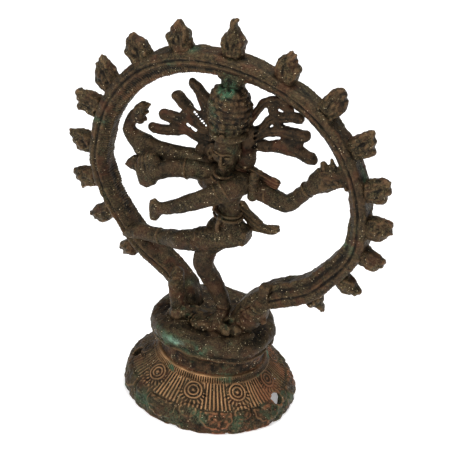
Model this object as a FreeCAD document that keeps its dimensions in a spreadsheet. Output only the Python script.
import FreeCAD, Part

import math
import os

# Brass statue of the dancing Nataraja in its ring of flames, in millimetres.
# +Z is up, the dancer faces -Y, and the origin is the centre of the pedestal's resting face.

SIZES = {
    # pedestal: a hollow oval dome
    "base_half_width": 54.0, "base_half_depth": 50.0,
    "pedestal_height": 25.0, "wall_height": 20.5, "shell_wall": 3.0, "pole_hole_radius": 4.0,
    "roof_half_width": 36.0, "roof_half_depth": 31.5,
    # bead collar, drum and plinth
    "collar_height": 3.0, "collar_inner_half_width": 33.6, "collar_inner_half_depth": 28.6,
    "drum_half_width": 33.0, "drum_half_depth": 28.0, "drum_waist": 0.94, "drum_top": 41.0,
    "plinth_half_width": 38.5, "plinth_half_depth": 32.2, "plinth_top": 54.0,
    # screw inside the stack
    "bolt_radius": 3.0, "bolt_clearance": 0.3, "bolt_head_width": 10.0, "bolt_head_height": 4.0,
    "bolt_tip": 49.0, "washer_radius": 8.0, "washer_thickness": 1.5,
    # ring of flames
    "ring_centre": 142.0, "ring_radius": 83.0, "ring_depth": 15.0,
    "ring_thickness": 10.0, "ring_low_thickness": 11.5,
    "flame_half_width": 7.2, "flame_half_depth": 5.0, "ring_foot_radius": 6.4,
    "bridge_half_width": 6.5, "bridge_half_depth": 4.6,
    # dancer
    "chest_half_width": 13.0, "chest_half_depth": 8.0, "waist_radius": 7.0,
    "hip_half_width": 12.5, "hip_half_depth": 8.5, "neck_radius": 4.2,
    "thigh_radius": 6.3, "calf_radius": 5.2, "ankle_radius": 3.8, "foot_radius": 3.6,
    "upper_arm_radius": 5.6, "forearm_radius": 4.2, "wrist_radius": 3.2, "hand_radius": 4.6,
    "head_radius": 7.4, "crown_half_width": 12.5, "crown_half_depth": 10.5,
    "hair_radius": 2.6, "band_radius": 1.3, "cloth_radius": 3.0,
    "girdle_radius": 11.0, "necklace_radius": 7.5, "diadem_radius": 8.3, "earring_radius": 2.2,
    # what the hands hold, and the dwarf underfoot
    "hand_drum_radius": 5.0, "hand_drum_length": 11.0, "fire_radius": 5.0, "cobra_radius": 2.5,
    "dwarf_radius": 5.4,
}

# Middles of the pole holes, joints and ends of the dancer's limbs and dress, as (x, y, z).
LANDMARKS = {
    "pole_hole_left": (-45.0, -13.5, 16.5), "pole_hole_right": (51.0, -6.4, 13.0),
    "ring_foot_low": (26.0, -3.0, 52.0), "ring_foot_neck": (27.0, -3.0, 60.0),
    "ring_foot_knob": (30.0, -3.0, 68.0), "ring_foot_high": (33.0, -3.0, 76.0),
    "ring_foot_top": (36.0, -3.0, 84.0),
    "bridge_mid": (0.8, 0.0, 216.5), "bridge_top": (1.0, 0.0, 220.0),
    "diadem": (3.0, -5.7, 177.2), "earring_right": (-7.5, -5.0, 165.0),
    "earring_left": (13.0, -5.0, 165.0), "hand_drum": (-52.0, -6.5, 178.0),
    "pelvis_low": (4.0, -3.5, 108.0), "pelvis": (4.5, -3.5, 116.0), "waist": (5.0, -3.5, 135.0),
    "chest": (2.0, -3.5, 149.0), "collar": (1.0, -3.5, 155.5), "neck_root": (1.0, -4.0, 158.0),
    "neck_top": (2.0, -5.0, 162.0),
    "chin": (2.5, -6.0, 161.5), "cheek": (3.0, -6.3, 168.0), "brow": (3.0, -6.0, 174.0),
    "crown_base": (2.6, -5.0, 179.5), "crown_band": (2.0, -4.0, 187.0),
    "crown_bulge": (1.0, -3.0, 199.0), "crown_neck": (0.5, -1.5, 208.0),
    "crown_top": (0.5, 0.0, 213.0),
    "stand_hip": (-2.0, -5.0, 114.0), "stand_thigh": (-8.0, -8.0, 104.0),
    "stand_knee": (-7.0, -8.5, 92.0), "stand_calf": (-0.5, -5.5, 82.0),
    "stand_shin": (4.5, -4.5, 73.0), "stand_ankle": (7.6, -5.5, 64.0),
    "raised_hip": (12.0, -4.5, 117.0), "raised_thigh": (3.0, -8.0, 114.0),
    "raised_mid": (-8.0, -11.0, 110.5), "raised_knee": (-19.0, -11.0, 107.0),
    "raised_calf": (-28.0, -7.5, 103.0), "raised_ankle": (-37.0, -5.0, 100.5),
    "raised_heel": (-43.0, -4.5, 99.0), "raised_ball": (-52.0, -3.5, 96.0),
    "raised_toe": (-60.0, -2.0, 93.0),
    "foot_heel": (8.5, -3.0, 61.0), "foot_arch": (7.5, -8.0, 60.5), "foot_ball": (6.5, -13.5, 59.5),
    "foot_toe": (6.0, -18.0, 59.0),
    "front_left_shoulder": (13.0, -7.0, 152.0), "front_left_upper": (7.0, -14.5, 149.0),
    "front_left_elbow": (-1.0, -18.5, 144.5), "front_left_forearm": (-13.0, -20.5, 138.0),
    "front_left_wrist": (-27.0, -22.0, 131.5), "front_left_palm": (-33.0, -22.0, 128.8),
    "front_left_tip": (-36.0, -22.0, 125.5),
    "front_right_shoulder": (-9.0, -4.5, 150.5), "front_right_upper": (-21.0, -5.5, 147.0),
    "front_right_elbow": (-35.0, -7.5, 141.0), "front_right_bend": (-43.0, -8.5, 140.0),
    "front_right_palm": (-46.5, -9.0, 146.0), "front_right_tip": (-46.0, -9.5, 157.0),
    "rear_right_shoulder": (-7.0, -1.5, 151.0), "rear_right_upper": (-24.0, 0.0, 157.0),
    "rear_right_forearm": (-42.0, 0.0, 157.5), "rear_right_low": (-56.0, 0.0, 160.0),
    "rear_right_elbow": (-63.5, 0.0, 165.5), "rear_right_wrist": (-62.0, 0.0, 174.0),
    "rear_right_palm": (-57.0, 0.0, 180.0), "rear_right_tip": (-51.5, 0.0, 183.0),
    "rear_left_shoulder": (11.0, -1.5, 152.5), "rear_left_upper": (22.0, -1.0, 149.5),
    "rear_left_low": (33.0, -0.5, 145.5), "rear_left_elbow": (41.0, 0.0, 146.0),
    "rear_left_forearm": (47.0, 0.0, 152.5), "rear_left_wrist": (53.5, 0.0, 160.5),
    "rear_left_palm": (59.0, 0.0, 166.0), "rear_left_tip": (63.5, 0.0, 170.0),
    "fire_root": (63.0, 0.0, 169.5), "fire_mid": (68.0, 0.0, 171.0), "fire_tip": (77.5, 0.0, 172.0),
    "sash_root": (8.0, 1.0, 133.0), "sash_low": (20.0, 3.0, 123.5), "sash_end": (37.5, 3.0, 125.5),
    "scarf_root": (10.0, 0.0, 160.0), "scarf_mid": (21.0, 0.0, 159.5), "scarf_end": (34.0, 0.0, 153.5),
    "tassel_top": (21.8, -8.0, 159.0), "tassel_low": (21.8, -8.0, 145.0),
    "cobra_root": (-46.0, -4.0, 142.0), "cobra_neck": (-54.0, -3.0, 143.5),
    "cobra_hood": (-60.0, -2.0, 145.5), "cobra_nose": (-65.0, -2.0, 147.5),
    "dwarf_feet": (-25.0, -6.0, 56.0), "dwarf_hips": (-12.0, -9.0, 57.0),
    "dwarf_chest": (4.0, -11.0, 57.5), "dwarf_neck": (12.0, -14.0, 57.5),
    "dwarf_head": (17.0, -17.0, 58.0), "dwarf_crown": (22.0, -19.0, 57.5),
}

# Directions in which the pole holes open, square to the sloping wall.
POLE_HOLE_OUT = {"left": (-0.59, -0.21, 0.78), "right": (0.75, -0.11, 0.65)}

# Quarters of the pedestal's wall: 1 where a quarter lies to the left, and 1 where it is in front.
WALL_QUARTERS = {"pedestal_front_left": (1, 1), "pedestal_front_right": (0, 1),
                 "pedestal_back_left": (1, 0), "pedestal_back_right": (0, 0)}

# Lower half of the ring's centre line, from the side down to the plinth, as (x, z).
RING_LOW = [(82.6, 131.0), (77.5, 119.5), (69.0, 107.0), (55.5, 93.5), (36.0, 82.0), (21.5, 72.5),
            (14.5, 62.0), (12.5, 54.0)]

# Flames of one side from the lowest up, as (root x, root z, tip x, tip z, width factor).
FLAMES = [(59.0, 95.5, 69.2, 81.2, 0.72), (74.0, 112.0, 90.5, 99.6, 0.76),
          (81.0, 129.5, 102.4, 125.0, 0.84), (83.5, 149.5, 104.8, 151.8, 0.9),
          (79.0, 170.5, 100.7, 178.8, 0.95), (68.0, 190.0, 86.1, 204.5, 1.0),
          (51.5, 206.5, 64.3, 225.0, 1.0), (28.0, 218.0, 34.0, 239.7, 1.0)]
TOP_FLAME = (0.0, 221.0, 0.0, 250.0, 1.0)

# Half width and half depth of a flame along its length, against the sizes in the sheet.
FLAME_PROFILE = [(0.0, 0.72, 0.8), (0.45, 0.95, 0.95), (0.65, 1.0, 1.0), (0.82, 0.62, 0.66),
                 (1.0, 0.22, 0.26)]

# Ends of the hair strands of each fan, from a common root, as (x, z).
HAIR_LEFT_ROOT = (-6.0, 177.0)
HAIR_LEFT_TIPS = [(-50.0, 168.5), (-44.5, 180.5), (-36.5, 192.0), (-27.0, 203.5)]
HAIR_RIGHT_ROOT = (9.0, 181.0)
HAIR_RIGHT_TIPS = [(54.0, 174.0), (48.0, 188.0), (42.0, 198.5), (33.0, 207.5)]

doc = FreeCAD.newDocument("nataraja")
sheet = doc.addObject("Spreadsheet::Sheet", "sizes")
parts = []


def fill_sheet():
    cells = list(SIZES.items())
    for name, point in LANDMARKS.items():
        cells += [(name + "_" + axis, value) for axis, value in zip("xyz", point)]
    for row, (alias, value) in enumerate(cells, start=1):
        sheet.set("A%d" % row, alias)
        sheet.set("B%d" % row, str(value))
        sheet.setAlias("B%d" % row, alias)


def as_text(value):
    return value if isinstance(value, str) else "(%s)" % repr(round(value, 6))


def vector(point):
    """A point as an expression: a landmark's name, or three numbers or expressions."""
    if isinstance(point, str):
        point = ["sizes.%s_%s" % (point, axis) for axis in "xyz"]
    return [as_text(value) for value in point]


def turned_to(origin, start, end):
    """A placement at origin whose Z axis points from start to end."""
    run = ["(%s) - (%s)" % pair for pair in zip(vector(end), vector(start))]
    run = "vector(%s)" % "; ".join(run)
    up = "vector(0; 0; 1)"
    turn = "vcross(%s; %s); vangle(%s; %s)" % (up, run, up, run)
    return "placement(vector(%s); %s)" % ("; ".join(vector(origin)), turn)


def ellipse(name, origin, start, end, major, minor):
    outline = doc.addObject("Part::Ellipse", name)
    outline.MajorRadius = 2000.0
    outline.setExpression("MajorRadius", as_text(major))
    outline.setExpression("MinorRadius", as_text(minor))
    outline.setExpression("Placement", turned_to(origin, start, end))
    return outline


def loft(name, sections, ruled=False):
    solid = doc.addObject("Part::Loft", name)
    solid.Sections = sections
    solid.Solid = True
    solid.Ruled = ruled
    return solid


def limb(name, stations):
    """A tapered rounded bar through (point, major radius, minor radius) stations."""
    points = [station[0] for station in stations]
    sections = []
    for index, (point, major, minor) in enumerate(stations):
        start = points[max(index - 1, 0)]
        end = points[min(index + 1, len(points) - 1)]
        sections.append(ellipse("%s_section_%d" % (name, index), point, start, end, major, minor))
    return loft(name + "_bar", sections, ruled=True)


def oval(name, height, half_width, half_depth):
    """A level ellipse round the Z axis."""
    outline = doc.addObject("Part::Ellipse", name)
    outline.MajorRadius = 2000.0
    outline.setExpression("MajorRadius", as_text(half_width))
    outline.setExpression("MinorRadius", as_text(half_depth))
    outline.setExpression("Placement.Base.z", as_text(height))
    return outline


def stack(name, levels):
    """A solid through level ellipses given as (height, half width, half depth)."""
    return loft(name, [oval("%s_level_%d" % (name, index), *level)
                       for index, level in enumerate(levels)])


def cylinder(name, radius, low, high):
    solid = doc.addObject("Part::Cylinder", name)
    solid.setExpression("Radius", radius)
    solid.setExpression("Height", "%s - (%s)" % (high, low))
    solid.setExpression("Placement.Base.z", low)
    return solid


def fused(name, solids):
    if len(solids) == 1:
        return solids[0]
    union = doc.addObject("Part::MultiFuse", name)
    union.Shapes = solids
    return union


def cut(name, base, tools):
    for index, tool in enumerate(tools):
        rest = doc.addObject("Part::Cut", "%s_cut_%d" % (name, index))
        rest.Base = base
        rest.Tool = tool
        base = rest
    return base


def keep(name, solid, neighbours=()):
    """Make a sub-part: the solid less the neighbours that it is seated against."""
    solid = cut(name, solid, neighbours)
    solid.Label = name
    parts.append(solid)
    return solid


def box_at(name, corner, lengths):
    box = doc.addObject("Part::Box", name)
    for side, length in zip(("Length", "Width", "Height"), lengths):
        box.setExpression(side, length)
    box.setExpression("Placement", "placement(vector(%s; %s; %s); rotation(0; 0; 0))" % corner)
    return box


def common(name, first, second):
    shape = doc.addObject("Part::Common", name)
    shape.Base, shape.Tool = first, second
    return shape


def build_pedestal():
    """The hollow dome, as the four quarters of its wall, with the pole holes, and its roof."""
    half_width, half_depth = "sizes.base_half_width", "sizes.base_half_depth"
    profile = [(0.0, 1.0), (0.1, 1.0), (0.44, 0.985), (0.58, 0.93), (0.74, 0.83), (0.9, 0.74)]
    outer, inner = [], []
    for level, share in profile:
        height = "sizes.pedestal_height * %s" % level
        wide, deep = "%s * %s" % (half_width, share), "%s * %s" % (half_depth, share)
        outer.append((height, wide, deep))
        inner.append((height, wide + " - sizes.shell_wall", deep + " - sizes.shell_wall"))
    outer.append(("sizes.pedestal_height", "sizes.roof_half_width", "sizes.roof_half_depth"))
    dome = stack("dome", outer)
    inner[0] = ("-1", inner[0][1], inner[0][2])
    hollow = stack("hollow", inner)
    tools = [hollow]
    for side, out in POLE_HOLE_OUT.items():
        name = "pole_hole_" + side
        hole = doc.addObject("Part::Cylinder", name)
        hole.setExpression("Radius", "sizes.pole_hole_radius")
        hole.setExpression("Height", "sizes.shell_wall * 4")
        inner = ["sizes.%s_%s - (%s) * sizes.shell_wall * 2" % (name, axis, share)
                 for axis, share in zip("xyz", out)]
        hole.setExpression("Placement", turned_to(inner, (0, 0, 0), out))
        tools.append(hole)
    tools.append(cylinder("roof_bore", "sizes.bolt_radius + sizes.bolt_clearance", "0",
                          "sizes.drum_top"))
    shell = cut("shell", dome, tools)
    for name, (left, front) in WALL_QUARTERS.items():
        corner = ("%s * -%d" % (half_width, left), "%s * -%d" % (half_depth, front), "0")
        space = box_at(name + "_space", corner, (half_width, half_depth, "sizes.wall_height"))
        keep(name, common(name + "_wall", shell, space))
    above = box_at("above_wall", ("-" + half_width, "-" + half_depth, "sizes.wall_height"),
                   (half_width + " * 2", half_depth + " * 2", "sizes.pedestal_height"))
    keep("pedestal_roof", common("roof", shell, above))


def build_stack():
    top, drum_top = "sizes.pedestal_height", "sizes.drum_top"
    wide, deep = "sizes.drum_half_width", "sizes.drum_half_depth"
    drum = stack("drum_body", [
        (top, wide, deep),
        ("%s + 5" % top, wide + " * sizes.drum_waist", deep + " * sizes.drum_waist"),
        ("%s - 5" % drum_top, wide + " * sizes.drum_waist", deep + " * sizes.drum_waist"),
        (drum_top, wide + " * 1.04", deep + " * 1.04")])
    bore = cylinder("drum_bore", "sizes.bolt_radius + sizes.bolt_clearance", top, drum_top)
    drum = keep("neck_drum", drum, [bore])
    collar_top = "%s + sizes.collar_height" % top
    outside = stack("collar_outside", [
        (top, "sizes.roof_half_width", "sizes.roof_half_depth"),
        ("%s + sizes.collar_height / 2" % top, "sizes.roof_half_width + 1", "sizes.roof_half_depth + 1"),
        (collar_top, "sizes.roof_half_width", "sizes.roof_half_depth")])
    inside = stack("collar_inside", [
        (height, "sizes.collar_inner_half_width", "sizes.collar_inner_half_depth")
        for height in ("%s - 1" % top, collar_top + " + 1")])
    keep("bead_collar", outside, [inside])
    wide, deep = "sizes.plinth_half_width", "sizes.plinth_half_depth"
    levels = [(0.0, 0.985), (0.2, 1.0), (0.5, 0.99), (0.78, 0.96), (1.0, 0.9)]
    block = stack("plinth_body", [
        ("%s + (sizes.plinth_top - %s) * %s" % (drum_top, drum_top, level),
         "%s * %s" % (wide, share), "%s * %s" % (deep, share)) for level, share in levels])
    bore = cylinder("plinth_bore", "sizes.bolt_radius", drum_top, "sizes.bolt_tip")
    return keep("plinth", block, [bore])


def build_bolt():
    roof_under = "sizes.pedestal_height * 0.9"
    seat = roof_under + " - sizes.washer_thickness"
    washer = cylinder("washer_disc", "sizes.washer_radius", seat, roof_under)
    hole = cylinder("washer_hole", "sizes.bolt_radius + sizes.bolt_clearance", seat, roof_under)
    keep("tie_washer", washer, [hole])
    head = doc.addObject("Part::Prism", "bolt_head")
    head.Polygon = 6
    head.setExpression("Circumradius", "sizes.bolt_head_width / 2 / cos(30)")
    head.setExpression("Height", "sizes.bolt_head_height")
    head.setExpression("Placement.Base.z", seat + " - sizes.bolt_head_height")
    shank = cylinder("bolt_shank", "sizes.bolt_radius", seat, "sizes.bolt_tip")
    keep("tie_bolt", fused("bolt_union", [head, shank]))


def ring_section(name, point, along, thickness):
    """A rectangle across the band: a named thickness in the ring's plane, depth along Y."""
    plane = doc.addObject("Part::Plane", name)
    plane.setExpression("Length", "sizes." + thickness)
    plane.setExpression("Width", "sizes.ring_depth")
    turn = math.degrees(math.atan2(along[0], along[1]))
    rotation = FreeCAD.Rotation(FreeCAD.Vector(0, 1, 0), turn)
    corner = rotation.multVec(FreeCAD.Vector(-SIZES[thickness] / 2, -SIZES["ring_depth"] / 2, 0))
    plane.Placement = FreeCAD.Placement(FreeCAD.Vector(point[0], 0, point[1]) + corner, rotation)
    return plane


def ring_line():
    """Centre line of the ring from its left end over the top to its right end."""
    centre, radius = SIZES["ring_centre"], SIZES["ring_radius"]
    upper = []
    for step in range(19):
        angle = math.radians(180 - 10 * step)
        reach = radius + 1.7 * math.cos(2 * angle) - 0.9 * math.cos(4 * angle)
        upper.append((reach * math.cos(angle), centre + reach * math.sin(angle)))
    left = [(-x, z) for x, z in reversed(RING_LOW)]
    return left + upper + RING_LOW


def build_ring():
    line = ring_line()
    sections = []
    for index, point in enumerate(line):
        before, after = line[max(index - 1, 0)], line[min(index + 1, len(line) - 1)]
        along = (after[0] - before[0], after[1] - before[1])
        low = min(index, len(line) - 1 - index) < len(RING_LOW) - 3
        if index in (0, len(line) - 1):
            along = (0.0, 1.0 if index == 0 else -1.0)
        thickness = "ring_low_thickness" if low else "ring_thickness"
        sections.append(ring_section("ring_section_%d" % index, point, along, thickness))
    return keep("ring_band", loft("ring_body", sections))


def build_flame(name, flame, band):
    root_x, root_z, tip_x, tip_z, share = flame
    start, end = (root_x, 0.0, root_z), (tip_x, 0.0, tip_z)
    sections = []
    for index, (reach, wide, deep) in enumerate(FLAME_PROFILE):
        origin = [a + (b - a) * reach for a, b in zip(start, end)]
        sections.append(ellipse("%s_section_%d" % (name, index), origin, start, end,
                                "sizes.flame_half_width * %s" % (wide * share),
                                "sizes.flame_half_depth * %s" % (deep * share)))
    return keep(name, loft(name + "_bar", sections), [band])


def build_flames(band):
    left = [(-root_x, root_z, -tip_x, tip_z, share) for root_x, root_z, tip_x, tip_z, share in FLAMES]
    flames = left + [TOP_FLAME] + FLAMES[::-1]
    for number, flame in enumerate(flames, start=1):
        build_flame("flame_%02d" % number, flame, band)


def build_feet(band, plinth):
    shares = {"low": 1.15, "neck": 0.98, "knob": 1.08, "high": 0.86, "top": 0.76}
    for side, name in ((-1, "ring_foot_left"), (1, "ring_foot_right")):
        stations = []
        for place, share in shares.items():
            point = ["sizes.ring_foot_%s_x * (%s)" % (place, side),
                     "sizes.ring_foot_%s_y" % place, "sizes.ring_foot_%s_z" % place]
            radius = "sizes.ring_foot_radius * %s" % share
            stations.append((point, radius, radius + " * 0.92"))
        keep(name, limb(name, stations), [band, plinth])


def build_body():
    wide, deep = "sizes.chest_half_width", "sizes.chest_half_depth"
    torso = keep("torso", limb("torso", [
        ("pelvis_low", "sizes.hip_half_width * 0.8", "sizes.hip_half_depth * 0.8"),
        ("pelvis", "sizes.hip_half_width", "sizes.hip_half_depth"),
        ("waist", "sizes.waist_radius", "sizes.waist_radius * 0.9"),
        ("chest", wide, deep),
        ("collar", wide + " * 0.7", deep + " * 0.8"),
        ("neck_root", "sizes.neck_radius", "sizes.neck_radius"),
        ("neck_top", "sizes.neck_radius", "sizes.neck_radius")]))
    return torso


def build_head(torso, band):
    head = keep("head", limb("head", [
        ("chin", "sizes.head_radius * 0.6", "sizes.head_radius * 0.6"),
        ("cheek", "sizes.head_radius", "sizes.head_radius"),
        ("brow", "sizes.head_radius * 1.05", "sizes.head_radius * 1.05"),
        ("crown_base", "sizes.head_radius", "sizes.head_radius")]), [torso])
    headdress = keep("headdress", limb("headdress", [
        ("crown_base", "sizes.crown_half_width * 0.86", "sizes.crown_half_depth * 0.86"),
        ("crown_band", "sizes.crown_half_width * 0.8", "sizes.crown_half_depth * 0.8"),
        ("crown_bulge", "sizes.crown_half_width", "sizes.crown_half_depth"),
        ("crown_neck", "sizes.crown_half_width * 0.5", "sizes.crown_half_depth * 0.5"),
        ("crown_top", "sizes.crown_half_width * 0.36", "sizes.crown_half_depth * 0.36")]), [head])
    wide, deep = "sizes.bridge_half_width", "sizes.bridge_half_depth"
    bridge = limb("crown_bridge", [("crown_top", wide + " * 0.83", deep + " * 0.87"),
                                   ("bridge_mid", wide, deep),
                                   ("bridge_top", wide + " * 1.23", deep + " * 1.09")])
    keep("crown_bridge", bridge, [headdress, band])
    return head, headdress


def build_rings_round(name, rings, neighbours):
    """A group of small bands, each a torus at a point, turned to a direction."""
    solids = []
    for index, (point, start, end, radius) in enumerate(rings):
        band = doc.addObject("Part::Torus", "%s_band_%d" % (name, index))
        band.setExpression("Radius1", as_text(radius))
        band.setExpression("Radius2", "sizes.band_radius")
        band.setExpression("Placement", turned_to(point, start, end))
        solids.append(band)
    keep(name, fused(name + "_union", solids), neighbours)


def build_hair(name, root, tips, neighbours):
    """A fan of straight strands that spread from one root behind the head."""
    strands = []
    for index, (tip_x, tip_z) in enumerate(tips):
        start, end = (root[0], 2.0, root[1]), (tip_x, 4.0, tip_z)
        strand = doc.addObject("Part::Cone", "%s_strand_%d" % (name, index))
        strand.setExpression("Radius1", "sizes.hair_radius * 0.8")
        strand.setExpression("Radius2", "sizes.hair_radius")
        strand.Height = math.dist(start, end)
        strand.setExpression("Placement", turned_to(start, start, end))
        strands.append(strand)
    keep(name, fused(name + "_union", strands), neighbours)


def arm(name, joints, neighbours):
    """An arm through its named joints, thick at the shoulder and flared at the hand."""
    radii = {"shoulder": "upper_arm_radius", "upper": "upper_arm_radius", "low": "forearm_radius",
             "elbow": "forearm_radius", "bend": "hand_radius", "forearm": "forearm_radius",
             "wrist": "wrist_radius", "palm": "hand_radius", "tip": "wrist_radius"}
    stations = [("%s_%s" % (name, joint), "sizes." + radii[joint], "sizes.%s * 0.9" % radii[joint])
                for joint in joints]
    return keep(name + "_arm", limb(name + "_arm", stations), neighbours)


def build_limbs(torso, band, dwarf):
    thigh, calf, ankle = "sizes.thigh_radius", "sizes.calf_radius", "sizes.ankle_radius"
    foot = "sizes.foot_radius"
    shin = limb("standing_shin", [
        ("stand_hip", thigh, thigh), ("stand_thigh", thigh, thigh), ("stand_knee", calf, calf),
        ("stand_calf", calf, calf), ("stand_shin", ankle + " * 1.15", ankle + " * 1.15"),
        ("stand_ankle", ankle, ankle)])
    sole = limb("standing_foot", [
        ("foot_heel", foot, foot + " * 0.9"), ("foot_arch", foot, foot + " * 0.9"),
        ("foot_ball", foot + " * 1.2", foot + " * 0.8"), ("foot_toe", foot, foot + " * 0.6")])
    standing = keep("standing_leg", fused("standing_union", [shin, sole]), [torso, dwarf])
    raised = keep("raised_leg", limb("raised", [
        ("raised_hip", thigh, thigh), ("raised_thigh", thigh, thigh), ("raised_mid", thigh, thigh),
        ("raised_knee", calf + " * 1.05", calf + " * 1.05"), ("raised_calf", calf, calf),
        ("raised_ankle", ankle, ankle), ("raised_heel", foot + " * 1.2", foot),
        ("raised_ball", foot, foot), ("raised_toe", foot + " * 0.7", foot + " * 0.6")]),
        [torso, standing, band])
    return standing, raised


def build_arms(torso):
    front_right = arm("front_right", ["shoulder", "upper", "elbow", "bend", "palm", "tip"], [torso])
    front_left = arm("front_left", ["shoulder", "upper", "elbow", "forearm", "wrist", "palm", "tip"],
                     [torso])
    rear_right = arm("rear_right", ["shoulder", "upper", "forearm", "low", "elbow", "wrist", "palm",
                                    "tip"], [torso, front_right])
    rear_left = arm("rear_left", ["shoulder", "upper", "low", "elbow", "forearm", "wrist", "palm",
                                  "tip"], [torso, front_left])
    return front_right, front_left, rear_right, rear_left


def build_dwarf(plinth, band):
    shares = {"feet": 0.6, "hips": 1.0, "chest": 1.04, "neck": 0.74, "head": 0.97, "crown": 0.37}
    stations = []
    for place, share in shares.items():
        radius = "sizes.dwarf_radius * %s" % share
        stations.append(("dwarf_" + place, radius, radius + " * 0.96"))
    return keep("dwarf", limb("dwarf_body", stations), [plinth, band])


def build_held_things(arms, band):
    """The drum, the flame and the cobra."""
    front_right, _, rear_right, rear_left = arms
    shell = doc.addObject("Part::Cylinder", "drum_shell")
    shell.setExpression("Radius", "sizes.hand_drum_radius")
    shell.setExpression("Height", "sizes.hand_drum_length")
    shell.setExpression("Placement", turned_to("hand_drum", (0, 0, 0), (0, 1, 0)))
    keep("hand_drum", shell, [rear_right])
    fire, snake = "sizes.fire_radius", "sizes.cobra_radius"
    flame = limb("hand_flame", [("fire_root", fire, fire + " * 0.9"),
                                ("fire_mid", fire + " * 1.4", fire + " * 1.1"),
                                ("fire_tip", fire, fire + " * 0.9")])
    keep("hand_flame", flame, [rear_left, band])
    cobra = limb("cobra", [("cobra_root", snake, snake + " * 0.95"),
                           ("cobra_neck", snake, snake + " * 0.8"),
                           ("cobra_hood", snake + " * 1.7", snake),
                           ("cobra_nose", snake, snake + " * 0.65")])
    keep("cobra", cobra, [front_right])


def build_cloth(torso, arms):
    """The sash's tail, the scarf on the shoulder and the tassel."""
    _, front_left, rear_right, rear_left = arms
    cloth = "sizes.cloth_radius"
    keep("sash_tail", limb("sash_tail", [("sash_root", cloth, cloth), ("sash_low", cloth, cloth),
                                         ("sash_end", cloth, cloth)]), [torso])
    keep("shoulder_scarf", limb("shoulder_scarf", [
        ("scarf_root", cloth, cloth + " * 0.8"), ("scarf_mid", cloth + " * 1.2", cloth + " * 0.7"),
        ("scarf_end", cloth + " * 0.7", cloth + " * 0.5")]), [torso, rear_left, rear_right, front_left])
    tassel = limb("tassel", [("tassel_low", cloth, cloth), ("tassel_top", cloth, cloth)])
    keep("tassel", tassel, [torso, front_left, rear_left])


def check_and_export():
    doc.recompute()
    failed = [item.Name for item in doc.Objects
              if "Invalid" in item.State or "Error" in item.State]
    if failed:
        raise RuntimeError("these objects failed: %s" % ", ".join(failed))
    os.makedirs("parts", exist_ok=True)
    for item in parts:
        shape = item.Shape
        if shape.isNull() or not shape.isValid() or not shape.Solids:
            raise RuntimeError("%s has no valid solid" % item.Label)
        print("%-18s solids %d  volume %.0f" % (item.Label, len(shape.Solids), shape.Volume))
        shape.exportStep("parts/%s.step" % item.Label)


def main():
    fill_sheet()
    doc.recompute()
    build_pedestal()
    plinth = build_stack()
    build_bolt()
    band = build_ring()
    build_feet(band, plinth)
    build_flames(band)
    dwarf = build_dwarf(plinth, band)
    torso = build_body()
    head, headdress = build_head(torso, band)
    standing, raised = build_limbs(torso, band, dwarf)
    arms = build_arms(torso)
    build_held_things(arms, band)
    build_cloth(torso, arms)
    build_hair("hair_fan_left", HAIR_LEFT_ROOT, HAIR_LEFT_TIPS, [head, headdress, band])
    build_hair("hair_fan_right", HAIR_RIGHT_ROOT, HAIR_RIGHT_TIPS, [head, headdress, band])
    build_rings_round("girdle", [("pelvis", "pelvis_low", "waist", "sizes.girdle_radius")],
                      [torso, standing, raised])
    build_rings_round("necklace", [("collar", "chest", "neck_root", "sizes.necklace_radius")],
                      [torso, *arms])
    build_rings_round("diadem", [("diadem", "cheek", "crown_base", "sizes.diadem_radius")], [head])
    build_rings_round("earrings", [(ear, (0, 0, 0), (0, -1, 0), "sizes.earring_radius")
                                   for ear in ("earring_right", "earring_left")], [head, torso])
    check_and_export()


main()
